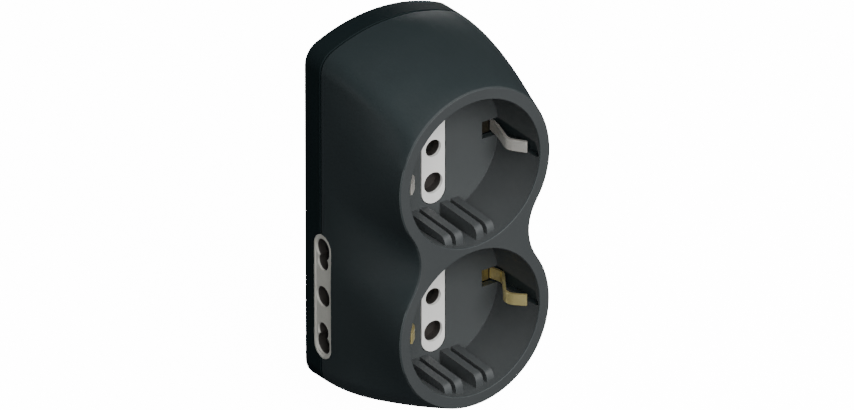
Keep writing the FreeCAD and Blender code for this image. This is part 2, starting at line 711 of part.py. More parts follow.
def bent_strip(name, points, bend, thickness, width, level):
    """A strip bent along a path in the XY plane, with round ends, centred on a level."""
    edges = []
    start = points[0]
    for before, corner, after in zip(points, points[1:], points[2:]):
        inward = (before - corner).normalize()
        onward = (after - corner).normalize()
        half_turn = inward.getAngle(onward) / 2
        back_off = bend / math.tan(half_turn)
        first = corner + inward * back_off
        last = corner + onward * back_off
        centre = corner + (inward + onward).normalize() * (bend / math.sin(half_turn))
        crest = centre + (corner - centre).normalize() * bend
        edges.append(Part.LineSegment(start, first).toShape())
        edges.append(Part.Arc(first, crest, last).toShape())
        start = last
    edges.append(Part.LineSegment(start, points[-1]).toShape())
    face = Part.Face(Part.Wire(edges).makeOffset2D(thickness / 2, 0, False, False))
    solid = face.extrude(Vector(0, 0, width))
    solid.translate(Vector(0, 0, level - width / 2))
    return feature(name, solid)


FLAT_CLIP = ("upper", 1)


def earth_clip(socket, side, level):
    """The sprung side clip of a recess: away from the wall to a crest, then back towards it."""
    form = "flat_clip" if (socket, side) == FLAT_CLIP else "deep_clip"
    front = -size("housing_depth")
    floor_back = front + size("recess_depth") + size("floor_thickness")
    path = [Vector(side * size("clip_root"), floor_back + size("clip_root_setback"), 0)]
    for bend in ("shoulder", "knee", "tip"):
        path.append(Vector(side * size("%s_%s" % (form, bend)), front + size("%s_%s_depth" % (form, bend)), 0))
    name = "%s_%s_earth_clip" % (socket, SIDE_NAMES[side])
    return bent_strip(name, path, size("clip_bend"), size("clip_thickness"), size("clip_width"), level)


def earth_strap(name, level):
    """The U-shaped strap behind a recess floor that the two clips and the earth sleeve stand on."""
    tall = ("(%s) - strap_half_width" % level, "(%s) + strap_half_width" % level)
    tab_front = FLOOR_BACK + " + clip_root_setback + clip_thickness / 2 + fit_gap"
    bar = block(name + "_bar", ("-strap_arm", "strap_arm"), (STRAP_FRONT, "-strap_setback"), tall)
    pieces = [bar]
    for side in (1, -1):
        arm = block("%s_arm_%s" % (name, SIDE_NAMES[side]), sided(side, "strap_arm - strap_thickness", "strap_arm"),
                    (tab_front, "-strap_setback"), tall)
        tab = block("%s_tab_%s" % (name, SIDE_NAMES[side]), sided(side, "strap_arm - strap_tab", "strap_arm"),
                    (tab_front, tab_front + " + strap_thickness"), tall)
        pieces += [arm, tab]
    hole = rod(name + "_hole", "y", ("0", "0", level), (STRAP_FRONT + " - 1", "-strap_setback + 1"),
               "contact_bore + touch_gap")
    pad = rod(name + "_pad", "y", ("0", "0", level), (STRAP_FRONT, "-strap_setback"),
              "contact_bore + 2 * contact_wall")
    return cut(name, join(name + "_blank", *pieces, pad), hole)


level_value = {"upper": size("socket_pitch") / 2, "lower": -size("socket_pitch") / 2}
for socket, level in SOCKETS:
    for side in (-1, 1):
        keep("%s_%s_earth_clip" % (socket, SIDE_NAMES[side]), earth_clip(socket, side, level_value[socket]))
    keep(socket + "_earth_strap", earth_strap(socket + "_earth_strap", level))


# Contact sleeves in the front carriers

def contact_sleeve(node, level, back):
    """A split-free round sleeve that grips a plug pin, behind one hole of an insert."""
    front = CARRIER_FRONT + " + spring_groove + shutter_gap"
    outer = "contact_bore + contact_wall"
    points = [("contact_bore", front), (outer, front), (outer, back), ("contact_bore", back)]
    return turned(node, points, ("0", "0", level))


for socket, level in SOCKETS:
    for sign, use in (("+", "line"), ("-", "neutral")):
        node = "%s_%s_contact" % (socket, use)
        keep(node, contact_sleeve(node, "(%s) %s contact_pitch" % (level, sign), BAR_FRONT))
    node = socket + "_earth_contact"
    keep(node, contact_sleeve(node, level, STRAP_FRONT))


# Front carriers, shutters and their springs

def front_carrier(name, level):
    """The block behind a recess that holds the sleeves, with a tube that the shutter turns on."""
    span_z = ("(%s) - carrier_half_length" % level, "(%s) + carrier_half_length" % level)
    slab = block(name + "_slab", ("-carrier_half_width", "carrier_half_width"), (CARRIER_FRONT, CARRIER_BACK), span_z)
    tube = rod(name + "_tube", "y", ("0", "0", level), (FLANGE_BACK + " + touch_gap", CARRIER_FRONT + " + 1"),
               "hub_tube_radius")
    groove_ring = cut(
        name + "_groove",
        rod(name + "_groove_out", "y", ("0", "0", level), (CARRIER_FRONT + " - 0.01", CARRIER_FRONT + " + spring_groove"),
            "spring_radius + spring_wire"),
        rod(name + "_groove_in", "y", ("0", "0", level), (CARRIER_FRONT + " - 1", CARRIER_FRONT + " + spring_groove + 1"),
            "hub_tube_radius"),
    )
    bore = "contact_bore + contact_wall + touch_gap"
    through = (FLANGE_BACK, CARRIER_BACK + " + 1")
    tools = [groove_ring, rod(name + "_earth_bore", "y", ("0", "0", level), through, bore)]
    for sign in ("+", "-"):
        centre = ("0", "0", "(%s) %s contact_pitch" % (level, sign))
        tools.append(rod("%s_line_bore_%d" % (name, len(tools)), "y", centre, through, bore))
    return cut(name, join(name + "_blank", slab, tube), *tools)


def shutter(name, level):
    """The rotary shutter: two wings that close the line holes, on a hub round the earth hole."""
    span = (SHUTTER_FRONT, SHUTTER_BACK)
    hub = rod(name + "_hub", "y", ("0", "0", level), span, "hub_tube_radius + hub_gap + shutter_hub_wall")
    wings = slot(name + "_wings", "y", ("0", "0", level), span, "2 * shutter_wing_half", "2 * shutter_reach")
    hole = rod(name + "_hole", "y", ("0", "0", level), (SHUTTER_FRONT + " - 1", SHUTTER_BACK + " + 1"),
               "hub_tube_radius + hub_gap")
    return cut(name, join(name + "_blank", hub, wings), hole)


def coil_point(turn):
    """A point on the shutter spring's line after so many turns."""
    angle = 2 * math.pi * turn
    radius = size("spring_radius")
    return Vector(radius * math.cos(angle), radius * math.sin(angle), size("spring_pitch") * turn)


def coil_heading(turn):
    """The direction of the shutter spring's line there."""
    angle = 2 * math.pi * turn
    radius = size("spring_radius")
    rise = size("spring_pitch") / (2 * math.pi)
    return Vector(-radius * math.sin(angle), radius * math.cos(angle), rise).normalize()


def coil_arcs(start_turn, end_turn):
    """Two tangent arcs that follow the spring's line between two places."""
    start, end = coil_point(start_turn), coil_point(end_turn)
    leaving, arriving = coil_heading(start_turn), coil_heading(end_turn)
    gap = end - start
    both = leaving + arriving
    square = 4 - both.dot(both)
    linear = 2 * gap.dot(both)
    reach = (math.sqrt(linear ** 2 + 4 * square * gap.dot(gap)) - linear) / (2 * square)
    first, second = start + leaving * reach, end - arriving * reach
    middle = (first + second) / 2
    arcs = []
    for before, corner, after in ((start, first, middle), (middle, second, end)):
        inward = ((before + after) / 2 - corner).normalize()
        half_turn = (before - corner).getAngle(inward)
        bend = reach * math.tan(half_turn)
        crest = corner + inward * (reach / math.cos(half_turn) - bend)
        arcs.append(Part.Arc(before, crest, after).toShape())
    return arcs


def shutter_spring(name, level):
    """The torsion coil in the carrier's groove that turns the shutter back."""
    wire = size("spring_wire")
    quarters = int(round(4 * size("spring_turns")))
    path = []
    for quarter in range(quarters):
        path += coil_arcs(quarter / 4, (quarter + 1) / 4)
    section = Part.Wire(Part.makeCircle(wire / 2, coil_point(0), coil_heading(0)))
    coil = Part.Wire(path).makePipeShell([section], True, False)
    front = -size("housing_depth") + size("recess_depth") + size("floor_thickness")
    groove = front + size("touch_gap") + size("flange_thickness") + 2 * size("shutter_gap")
    groove += size("shutter_thickness") + wire / 2 + size("touch_gap")
    piece = feature(name, coil)
    piece.Placement = FreeCAD.Placement(Vector(0, groove, level), TURNS["y"])
    return piece


for socket, level in SOCKETS:
    keep(socket + "_contact_carrier", front_carrier(socket + "_contact_carrier", level))
    keep(socket + "_shutter", shutter(socket + "_shutter", level))
    keep(socket + "_shutter_spring", shutter_spring(socket + "_shutter_spring", level_value[socket]))


# Bus bars

def contact_pad(name, side, level):
    """The flag of a bus bar behind one contact sleeve, with the hole that the plug's pin runs through."""
    plate = block(name + "_plate", sided(side, "-bar_inner", "bar_inner + bar_width"), (BAR_FRONT, "-bar_setback"),
                  ("(%s) - contact_bore - contact_wall" % level, "(%s) + contact_bore + contact_wall" % level))
    hole = rod(name + "_hole", "y", ("0", "0", level), (BAR_FRONT + " - 1", "-bar_setback + 1"),
               "contact_bore + touch_gap")
    return plate, hole


def power_bar(name, side, low, high, pads, bridge, pin_level):
    """A line or neutral bar: a strip beside the pins, its flags, the side outlets' bridge and the pin's leg."""
    x = sided(side, "bar_inner", "bar_inner + bar_width")
    pieces = [block(name + "_strip", x, (BAR_FRONT, "-bar_setback"), (low, high))]
    holes = []
    for i, level in enumerate(pads):
        plate, hole = contact_pad("%s_pad_%d" % (name, i), side, level)
        pieces.append(plate)
        holes.append(hole)
    bridge_z = ("(%s) - tail_half" % bridge, "(%s) + tail_half" % bridge)
    pieces.append(block(name + "_bridge", ("-bridge_half_length", "bridge_half_length"),
                        ("-bridge_setback - bar_thickness", "-bridge_setback"), bridge_z))
    pieces.append(block(name + "_joggle", x, (BAR_FRONT, "-bridge_setback"), bridge_z))
    leg_z = ("(%s) - strap_half_width" % pin_level, "(%s) + strap_half_width" % pin_level)
    foot = ("-wall - pin_collar - touch_gap - bar_thickness", "-wall - pin_collar - touch_gap")
    leg_x = sided(side, "bar_inner", "bar_inner + bar_thickness")
    pieces.append(block(name + "_leg", leg_x, (BAR_FRONT, foot[1]), leg_z))
    pieces.append(block(name + "_foot", sided(side, "-strap_half_width", "bar_inner + bar_thickness"), foot, leg_z))
    return cut(name, join(name + "_blank", *pieces), *holes)


WEB_LEVEL = "carrier_half_length - leaf_thickness - 2 * fit_gap - tail_half"
keep("line_busbar", power_bar(
    "line_busbar", -1,
    "-socket_pitch / 2 + contact_pitch - contact_bore - contact_wall",
    "socket_pitch / 2 + contact_pitch + contact_bore + contact_wall",
    [HALF_PITCH + " + contact_pitch", "-socket_pitch / 2 + contact_pitch"],
    SIDE_LEVEL + " + " + WEB_LEVEL, "wide_pitch"))
keep("neutral_busbar", power_bar(
    "neutral_busbar", 1,
    "%s - (%s) - tail_half" % (SIDE_LEVEL, WEB_LEVEL),
    "socket_pitch / 2 - contact_pitch + contact_bore + contact_wall",
    [HALF_PITCH + " - contact_pitch", "-socket_pitch / 2 - contact_pitch"],
    "%s - (%s)" % (SIDE_LEVEL, WEB_LEVEL), "-wide_pitch"))


def earth_bar(name):
    """The bar that joins both earth straps and the earth pin."""
    y = ("-strap_setback + touch_gap", "-strap_setback + touch_gap + bar_thickness")
    x_low, x_high = "carrier_half_width", "carrier_half_width + bar_width"
    strip = block(name + "_strip", (x_low, x_high), y,
                  ("-socket_pitch / 2 - strap_half_width", "socket_pitch / 2 + strap_half_width"))
    z = ("-strap_half_width", "strap_half_width")
    arm = block(name + "_arm", ("bar_inner", x_high), y, z)
    foot = ("-wall - pin_collar - touch_gap - bar_thickness", "-wall - pin_collar - touch_gap")
    leg = block(name + "_leg", ("bar_inner", "bar_inner + bar_thickness"), (y[0], foot[1]), z)
    toe = block(name + "_toe", ("-strap_half_width", "bar_inner + bar_thickness"), foot, z)
    return join(name, strip, arm, leg, toe)


keep("earth_busbar", earth_bar("earth_busbar"))


# Plug pins

def plug_pin(node, level, sleeved):
    """A round pin with a collar inside the cover; a line pin is necked under its sleeve."""
    collar = [("0", "-wall - pin_collar"), ("pin_collar_radius", "-wall - pin_collar"),
              ("pin_collar_radius", "-wall"), ("pin_radius + pin_root_step", "-wall"),
              ("pin_radius + pin_root_step", "0")]
    plain = [("pin_radius", "0")]
    neck = [("pin_neck_radius", "0"), ("pin_neck_radius", "sleeve_length"), ("pin_radius", "sleeve_length")]
    tip = [("pin_radius", "pin_length - pin_tip"), ("pin_radius - pin_tip", "pin_length"), ("0", "pin_length")]
    return turned(node, collar + (neck if sleeved else plain) + tip, ("0", "0", level))


def pin_sleeve(node, level):
    """The insulating sleeve on a line pin, level with the pin's outside."""
    inner = "pin_neck_radius + touch_gap"
    points = [(inner, "touch_gap"), ("pin_radius", "touch_gap"), ("pin_radius", "sleeve_length - touch_gap"),
              (inner, "sleeve_length - touch_gap")]
    return turned(node, points, ("0", "0", level))


for node, level in PINS:
    keep(node, plug_pin(node, level, node != "earth_pin"))
    if node != "earth_pin":
        keep(node + "_sleeve", pin_sleeve(node + "_sleeve", level))


# Side outlets: carriers and contacts

CARRIER_OUT = SIDE_WALL_INSIDE + " - 2 * touch_gap - flange_thickness"
CHAMBER_HALF = "leaf_gap + leaf_thickness + touch_gap"
CHAMBER_NEAR = "contact_pitch - keyhole_small_radius - fit_gap"
CHAMBER_FAR = "carrier_half_length - fit_gap - leaf_thickness"
CONTACT_OUT = "side_contact_inner + side_contact_length"


def side_carrier(name, side):
    """The block inside a side insert, with a bore for the earth sleeve and two chambers for the leaves."""
    y = (SIDE_CENTRE + " - side_carrier_half_depth", SIDE_CENTRE + " + side_carrier_half_depth")
    z = (SIDE_LEVEL + " - carrier_half_length", SIDE_LEVEL + " + carrier_half_length")
    slab = block(name + "_slab", sided(side, "side_carrier_inner", CARRIER_OUT), y, z)
    through = sided(side, "side_carrier_inner - 1", CARRIER_OUT + " + 1")
    tools = [rod(name + "_earth_bore", "x", ("0", SIDE_CENTRE, SIDE_LEVEL), through,
                 "contact_bore + contact_wall + touch_gap")]
    tools.append(block(name + "_earth_tail_slot", sided(side, TAIL_X[0] + " - fit_gap", TAIL_X[1] + " + fit_gap"),
                       (y[0] + " - 1", SIDE_CENTRE),
                       (SIDE_LEVEL + " - tail_half - fit_gap", SIDE_LEVEL + " + tail_half + fit_gap")))
    depth = ("%s - (%s)" % (SIDE_CENTRE, CHAMBER_HALF), "%s + (%s)" % (SIDE_CENTRE, CHAMBER_HALF))
    for sign in (1, -1):
        tall = leaf_span(sign, CHAMBER_NEAR, CHAMBER_FAR)
        tools.append(block("%s_chamber_%d" % (name, len(tools)), through, depth, tall))
        tail = leaf_span(sign, WEB_LEVEL + " - tail_half - fit_gap", WEB_LEVEL + " + tail_half + fit_gap")
        tools.append(block("%s_tail_slot_%d" % (name, len(tools)),
                           sided(side, TAIL_X[0] + " - fit_gap", TAIL_X[1] + " + fit_gap"),
                           (y[0] + " - 1", SIDE_CENTRE), tail))
    return cut(name, slab, *tools)


TAIL_X = ("side_contact_inner + 3", "side_contact_inner + 6")


def leaf_span(sign, near, far):
    """Low and high Z of something above or below the side outlet's centre."""
    if sign > 0:
        return ("%s + %s" % (SIDE_LEVEL, near), "%s + %s" % (SIDE_LEVEL, far))
    return ("%s - (%s)" % (SIDE_LEVEL, far), "%s - (%s)" % (SIDE_LEVEL, near))


def side_power_contact(name, side, sign):
    """Two leaves that grip a narrow or a wide pin, joined by a web, with a tail to the bus bar's bridge."""
    x = sided(side, "side_contact_inner", CONTACT_OUT)
    near = CHAMBER_NEAR + " + fit_gap"
    far = CHAMBER_FAR + " - touch_gap"
    front_leaf = (SIDE_CENTRE + " - leaf_gap - leaf_thickness", SIDE_CENTRE + " - leaf_gap")
    back_leaf = (SIDE_CENTRE + " + leaf_gap", SIDE_CENTRE + " + leaf_gap + leaf_thickness")
    whole = (front_leaf[0], back_leaf[1])
    leaves = [block("%s_leaf_%d" % (name, i), x, y, leaf_span(sign, near, far))
              for i, y in enumerate((front_leaf, back_leaf))]
    web = block(name + "_web", x, whole, leaf_span(sign, far + " - leaf_thickness", far))
    tail = block(name + "_tail", sided(side, TAIL_X[0], TAIL_X[1]),
                 ("-bridge_setback + touch_gap", front_leaf[1]),
                 leaf_span(sign, WEB_LEVEL + " - tail_half", WEB_LEVEL + " + tail_half"))
    return join(name, *leaves, web, tail)


def side_earth_contact(name, side):
    """A round sleeve on the side outlet's earth axis, with a tail to the lower earth strap."""
    sleeve = cut(
        name + "_sleeve",
        rod(name + "_outside", "x", ("0", SIDE_CENTRE, SIDE_LEVEL), sided(side, "side_contact_inner", CONTACT_OUT),
            "contact_bore + contact_wall"),
        rod(name + "_inside", "x", ("0", SIDE_CENTRE, SIDE_LEVEL),
            sided(side, "side_contact_inner - 1", CONTACT_OUT + " + 1"), "contact_bore"),
    )
    tail = block(name + "_tail", sided(side, TAIL_X[0], TAIL_X[1]),
                 ("-strap_setback + touch_gap", SIDE_CENTRE + " - contact_bore - contact_wall / 4"),
                 (SIDE_LEVEL + " - tail_half", SIDE_LEVEL + " + tail_half"))
    return join(name, sleeve, tail)


for side in (-1, 1):
    where = SIDE_NAMES[side]
    keep(where + "_contact_carrier", side_carrier(where + "_contact_carrier", side))
    for sign, use in ((1, "line"), (-1, "neutral")):
        node = "%s_side_%s_contact" % (where, use)
        keep(node, side_power_contact(node, side, sign))
    keep(where + "_side_earth_contact", side_earth_contact(where + "_side_earth_contact", side))


# Housing screws: four alike, one node

def housing_screws():
    """Cross-drive screws from the back cover into the shell's posts."""
    screws = []
    for i, (x, z) in enumerate(POSTS):
        head = rod("screw_head_%d" % i, "y", (x, "0", z), ("-screw_sink", "-screw_sink + screw_head"),
                   "screw_head_radius")
        shank = rod("screw_shank_%d" % i, "y", (x, "0", z), ("-screw_sink - screw_length", "-screw_sink + 0.5"),
                    "screw_radius")
        drive_y = ("-screw_sink + screw_head - drive_depth", "-screw_sink + screw_head + 1")
        reach = "screw_head_radius * 0.6"
        bars = []
        for name, wide, tall in (("flat", reach, "drive_width / 2"), ("upright", "drive_width / 2", reach)):
            bars.append(block("screw_%s_%d" % (name, i), ("%s - %s" % (x, wide), "%s + %s" % (x, wide)), drive_y,
                              ("%s - %s" % (z, tall), "%s + %s" % (z, tall))))
        screws.append(cut("screw_%d" % i, join("screw_blank_%d" % i, head, shank), *bars))
    group = doc.addObject("Part::Compound", "housing_screws")
    group.Links = screws
    return group


keep("housing_screws", housing_screws())

doc.recompute()

faults = [o.Name for o in doc.Objects if "Invalid" in o.State or "Error" in o.State]
faults += [node for node, piece in nodes.items() if piece.Shape.isNull() or not piece.Shape.isValid()]
if faults:
    raise SystemExit("failed: " + ", ".join(faults))
for node, piece in nodes.items():
    shape = piece.Shape
    print("%-28s solids %d volume %9.2f" % (node, len(shape.Solids), shape.Volume))
    shape.exportStep("parts/%s.step" % node)
print("nodes", len(nodes))
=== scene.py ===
"""Looks for the plug adapter: dark housing, pale outlet plates, earth clips and plug pins."""
import json
import math

import bmesh
import bpy
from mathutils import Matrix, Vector


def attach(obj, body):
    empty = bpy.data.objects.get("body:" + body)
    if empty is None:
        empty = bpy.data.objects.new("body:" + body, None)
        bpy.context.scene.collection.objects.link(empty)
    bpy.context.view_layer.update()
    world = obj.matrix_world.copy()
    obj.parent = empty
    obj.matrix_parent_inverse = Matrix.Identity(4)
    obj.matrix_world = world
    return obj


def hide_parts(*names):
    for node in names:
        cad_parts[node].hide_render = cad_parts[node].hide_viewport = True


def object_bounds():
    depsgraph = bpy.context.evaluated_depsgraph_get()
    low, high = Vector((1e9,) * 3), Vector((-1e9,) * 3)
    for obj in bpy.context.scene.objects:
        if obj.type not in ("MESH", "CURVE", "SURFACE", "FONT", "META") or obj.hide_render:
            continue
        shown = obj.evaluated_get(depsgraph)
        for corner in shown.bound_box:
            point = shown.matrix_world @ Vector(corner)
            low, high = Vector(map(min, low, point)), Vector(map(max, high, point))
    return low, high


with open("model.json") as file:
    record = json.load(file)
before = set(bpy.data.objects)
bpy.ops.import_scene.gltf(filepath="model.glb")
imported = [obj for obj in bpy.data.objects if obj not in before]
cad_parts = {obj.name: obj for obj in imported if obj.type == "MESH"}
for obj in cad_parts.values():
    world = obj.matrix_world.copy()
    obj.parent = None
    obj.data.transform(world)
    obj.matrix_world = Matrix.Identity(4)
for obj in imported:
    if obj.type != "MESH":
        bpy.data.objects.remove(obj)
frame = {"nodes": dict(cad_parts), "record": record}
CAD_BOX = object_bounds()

MM = 0.001

# Places on the adapter, in metres

HALF_PITCH = 20.45 * MM         # from the middle to a recess's centre
RECESS_RADIUS = 19.7 * MM
FRONT_Y = -40.9 * MM
RECESS_FLOOR_Y = -23.4 * MM
SIDE_FACE_X = 21.9 * MM

# Edges between two finishes, or between painted light and painted shade, on one piece

SOFT_STEP = 0.2 * MM            # how softly one finish passes into the next
WIDE_STEP = 0.3 * MM
WALL_MARGIN = 0.25 * MM         # a recess's matt finish and its painted light go this far past its wall
FLOOR_MARGIN = 0.3 * MM         # and this far behind its floor
WALL_END = 0.15 * MM            # the walls' painted shade ends this far before the floor
RING_DEPTH = 0.3 * MM           # the ring's matt finish and its painted shade go this far behind the front
RING_EDGE = 0.04 * MM           # its rounded edge is painted dark as shade from this far behind the front
RING_EDGE_STEP = 0.03 * MM
BACK_MARGIN = 0.35 * MM         # the flat back's grey goes this far in front of it; the band before it is painted shade
PLATE_MARGIN = 0.5 * MM         # the side plates' painted shade goes this far below the side
HOLE_DEPTH = 0.85 * MM          # the front plates' holes are painted dark as shade from this far behind the floor

# Patterns, in features per metre

CLOUDS = 55
SMALL_CLOUDS = 140
PLATE_CLOUDS = 220
METAL_CLOUDS = 260
PATCHES = 700
FLECKS = 2600
SMALL_FLECKS = 2800
PLATE_FLECKS = 3000
HOUSING_LINES = 900
METAL_LINES = 5200
HOUSING_GRAIN = 5200
COVER_GRAIN = 4200
PLATE_GRAIN = 6000
SMALL_GRAIN = 5000

EVEN = (1, 1, 1)
LENGTHWISE = (1, 0.05, 1)       # drawn out along Y, the way the metal was rolled
MOULD_LINES = (1, 0.06, 1)

# Relief, in metres

HOUSING_RELIEF = 0.012 * MM
COARSE_RELIEF = 0.01 * MM
FINE_RELIEF = 0.006 * MM
METAL_RELIEF = 0.002 * MM


# Shader wiring

class Wire:
    """One shader socket that can be used in arithmetic."""

    def __init__(self, tree, socket=None):
        self.tree = tree
        self.socket = socket

    def node(self, kind, settings, sockets, output=0):
        """Add a node: settings first, then values or links for its sockets."""
        made = self.tree.nodes.new(kind)
        for name, value in settings.items():
            setattr(made, name, value)
        for name, value in sockets.items():
            if isinstance(value, Wire):
                self.tree.links.new(value.socket, made.inputs[name])
            else:
                made.inputs[name].default_value = value
        return Wire(self.tree, made.outputs[output])

    def math(self, operation, *numbers, clamp=False):
        settings = {"operation": operation, "use_clamp": clamp}
        return self.node("ShaderNodeMath", settings, dict(enumerate(numbers)))

    def __add__(self, other):
        return self.math("ADD", self, other)

    __radd__ = __add__

    def __sub__(self, other):
        return self.math("SUBTRACT", self, other)

    def __rsub__(self, other):
        return self.math("SUBTRACT", other, self)

    def __mul__(self, other):
        return self.math("MULTIPLY", self, other)

    __rmul__ = __mul__

    def size(self):
        """The number without its sign."""
        return self.math("ABSOLUTE", self)

    def root(self):
        """The square root."""
        return self.math("SQRT", self)

    def most(self, other):
        """The larger of two numbers."""
        return self.math("MAXIMUM", self, other)

    def over(self, edge, softness):
        """0 below an edge and 1 above it, with a soft step."""
        return self.math("DIVIDE", self - (edge - softness / 2), softness, clamp=True)

    def blend(self, low, high):
        """A colour between two, with this number as the share of the second."""
        return self.node("ShaderNodeMix", {"data_type": "RGBA"}, {0: self, 6: low, 7: high},
                         output=2)

    def spot(self):
        """The piece's own coordinates."""
        return self.node("ShaderNodeTexCoord", {}, {}, output=3)

    def place(self):
        """The piece's own X, Y and Z as three numbers."""
        spot = self.spot()
        return [self.node("ShaderNodeSeparateXYZ", {}, {"Vector": spot}, output=axis)
                for axis in range(3)]

    def noise(self, scale, detail=2.0, roughness=0.5, stretch=EVEN):
        """Noise on the piece's own coordinates, drawn out along an axis if asked."""
        spot = self.spot()
        if stretch != EVEN:
            spot = self.node("ShaderNodeMapping", {}, {"Vector": spot, "Scale": stretch})
        sockets = {"Vector": spot, "Scale": scale, "Detail": detail, "Roughness": roughness}
        return self.node("ShaderNodeTexNoise", {}, sockets)


def new_finish(name):
    """A new material, a wire to build its nodes with, and its shader."""
    material = bpy.data.materials.new(name)
    material.use_nodes = True
    tree = material.node_tree
    shader = next(n for n in tree.nodes if n.type == "BSDF_PRINCIPLED")
    return material, Wire(tree), shader


def feed(wire, shader, **inputs):
    """Link varying values to the shader's sockets, and set constants on them."""
    for name, value in inputs.items():
        socket = shader.inputs[name.replace("_", " ")]
        if isinstance(value, Wire):
            wire.tree.links.new(value.socket, socket)
        else:
            socket.default_value = value


def relief(wire, height, depth):
    """A bump of a real depth in metres."""
    sockets = {"Strength": 1.0, "Distance": depth, "Height": height}
    return wire.node("ShaderNodeBump", {}, sockets)


def rgb(red, green, blue):
    return (red, green, blue, 1.0)


# Finishes. Each colour has a darker and a lighter shade, and noise passes between them.

# The outer skin's colour is painted shade
SKIN_SHADED = rgb(0.0120, 0.0175, 0.0185), rgb(0.0200, 0.0270, 0.0285)
# The recess floors' colour is painted light
RECESS_FLOOR_LIT = rgb(0.0400, 0.0450, 0.0460), rgb(0.0520, 0.0570, 0.0580)
# A darker copy painted on the ring face and the recess walls as shade
RING_AND_WALL_SHADED = rgb(0.0300, 0.0340, 0.0350), rgb(0.0400, 0.0440, 0.0450)
# The cover's band is painted nearly black as shade
COVER_BAND_SHADED = rgb(0.0050, 0.0085, 0.0095), rgb(0.0085, 0.0130, 0.0140)
COVER_BACK = rgb(0.0230, 0.0290, 0.0300), rgb(0.0330, 0.0390, 0.0400)
PLATE_PALE = rgb(0.62, 0.615, 0.595), rgb(0.79, 0.785, 0.76)
# The side plates' greyer colour is painted shade
PLATE_SIDE_SHADED = rgb(0.33, 0.33, 0.30), rgb(0.44, 0.435, 0.395)
# Painted shade down in the holes
HOLE_SHADE = rgb(0.022, 0.020, 0.018)


def housing_finish():
    """Dark plastic: a satin outer skin painted dark as shade, a matt grain on the ring face and in
    the recesses, the recess floors painted light, and the ring face, recess walls and ring edge
    painted darker as shade.
    """
    material, wire, shader = new_finish("housing_anthracite")
    x, y, z = wire.place()
    across = z.size() - HALF_PITCH
    from_centre = (x * x + across * across).root()
    inside = 1 - from_centre.over(RECESS_RADIUS + WALL_MARGIN, SOFT_STEP)
    in_recess = inside * (1 - y.over(RECESS_FLOOR_Y + FLOOR_MARGIN, SOFT_STEP))
    # Painted shade on the recess walls
    wall_shade_mask = inside * (1 - y.over(RECESS_FLOOR_Y - WALL_END, SOFT_STEP))
    on_ring = 1 - y.over(FRONT_Y + RING_DEPTH, WIDE_STEP)
    # Painted shade on the ring's rounded edge, which is also made rougher
    edge_shade_mask = on_ring * y.over(FRONT_Y + RING_EDGE, RING_EDGE_STEP)
    # Matt roughness is the real finish; the same mask also paints light onto the recess floors
    matt = in_recess.most(on_ring)
    cloud = wire.noise(CLOUDS, 3.0)
    fleck = wire.noise(FLECKS)
    grain = wire.noise(HOUSING_GRAIN, 2.0, 0.6)
    drawn = wire.noise(HOUSING_LINES, stretch=MOULD_LINES)
    # Painted shade on the outer skin, painted light on the recess floors
    skin = (cloud * 0.6 + fleck * 0.4).blend(*SKIN_SHADED)
    tone = cloud * 0.5 + fleck * 0.5
    face = tone.blend(*RECESS_FLOOR_LIT)
    ring = tone.blend(*RING_AND_WALL_SHADED)
    # The ring face and recess walls get the darker copy as painted shade
    lit_and_shaded_tones = on_ring.most(wall_shade_mask).blend(matt.blend(skin, face), ring)
    # The ring's rounded edge takes the skin's painted shade
    colour = edge_shade_mask.blend(lit_and_shaded_tones, skin)
    roughness = 0.40 + matt * 0.16 + edge_shade_mask * 0.20 + (cloud - 0.5) * 0.10 + (drawn - 0.5) * 0.05
    height = grain * (0.55 + matt * 0.35) + drawn * 0.15
    feed(wire, shader, Base_Color=colour, Roughness=roughness, IOR=1.48,
         Normal=relief(wire, height, HOUSING_RELIEF))
    return material


def cover_finish():
    """The rear half's plastic: a dull band painted nearly black as shade, and a flat back as grey
    as the shell.
    """
    material, wire, shader = new_finish("cover_band_painted_shade")
    y = wire.place()[1]
    on_back = y.over(-BACK_MARGIN, WIDE_STEP)
    cloud = wire.noise(CLOUDS, 3.0)
    tone = cloud * 0.6 + wire.noise(FLECKS) * 0.4
    # Painted shade on the band in front of the flat back
    colour = on_back.blend(tone.blend(*COVER_BAND_SHADED), tone.blend(*COVER_BACK))
    feed(wire, shader, Base_Color=colour, Roughness=0.62 + (cloud - 0.5) * 0.10, IOR=1.10,
         Normal=relief(wire, wire.noise(COVER_GRAIN, 2.0, 0.6), HOUSING_RELIEF))
    return material


def insert_finish():
    """Pale plastic of the outlet plates: painted greyer on the side plates as shade, and painted
    dark down in the holes as shade.
    """
    material, wire, shader = new_finish("insert_pale_grey")
    x, y, _ = wire.place()
    cloud = wire.noise(PLATE_CLOUDS, 3.0)
    tone = cloud * 0.7 + wire.noise(PLATE_FLECKS) * 0.3
    # Painted shade on the side plates
    side_shade_mask = x.size().over(SIDE_FACE_X - PLATE_MARGIN, WIDE_STEP)
    # Painted shade inside the front plates' holes
    hole_shade_mask = y.over(RECESS_FLOOR_Y + HOLE_DEPTH, WIDE_STEP) * (1 - side_shade_mask)
    colour = hole_shade_mask.blend(side_shade_mask.blend(tone.blend(*PLATE_PALE), tone.blend(*PLATE_SIDE_SHADED)), HOLE_SHADE)
    feed(wire, shader, Base_Color=colour, Roughness=0.42 + (cloud - 0.5) * 0.12,
         Normal=relief(wire, wire.noise(PLATE_GRAIN), FINE_RELIEF))
    return material


def plain_plastic(name, low, high, roughness, depth):
    """Moulded plastic with a fine grain and a faint cloudiness."""
    material, wire, shader = new_finish(name)
    cloud = wire.noise(SMALL_CLOUDS, 3.0)
    tone = cloud * 0.6 + wire.noise(SMALL_FLECKS) * 0.4
    feed(wire, shader, Base_Color=tone.blend(rgb(*low), rgb(*high)),
         Roughness=roughness + (cloud - 0.5) * 0.15,
         Normal=relief(wire, wire.noise(SMALL_GRAIN), depth))
    return material


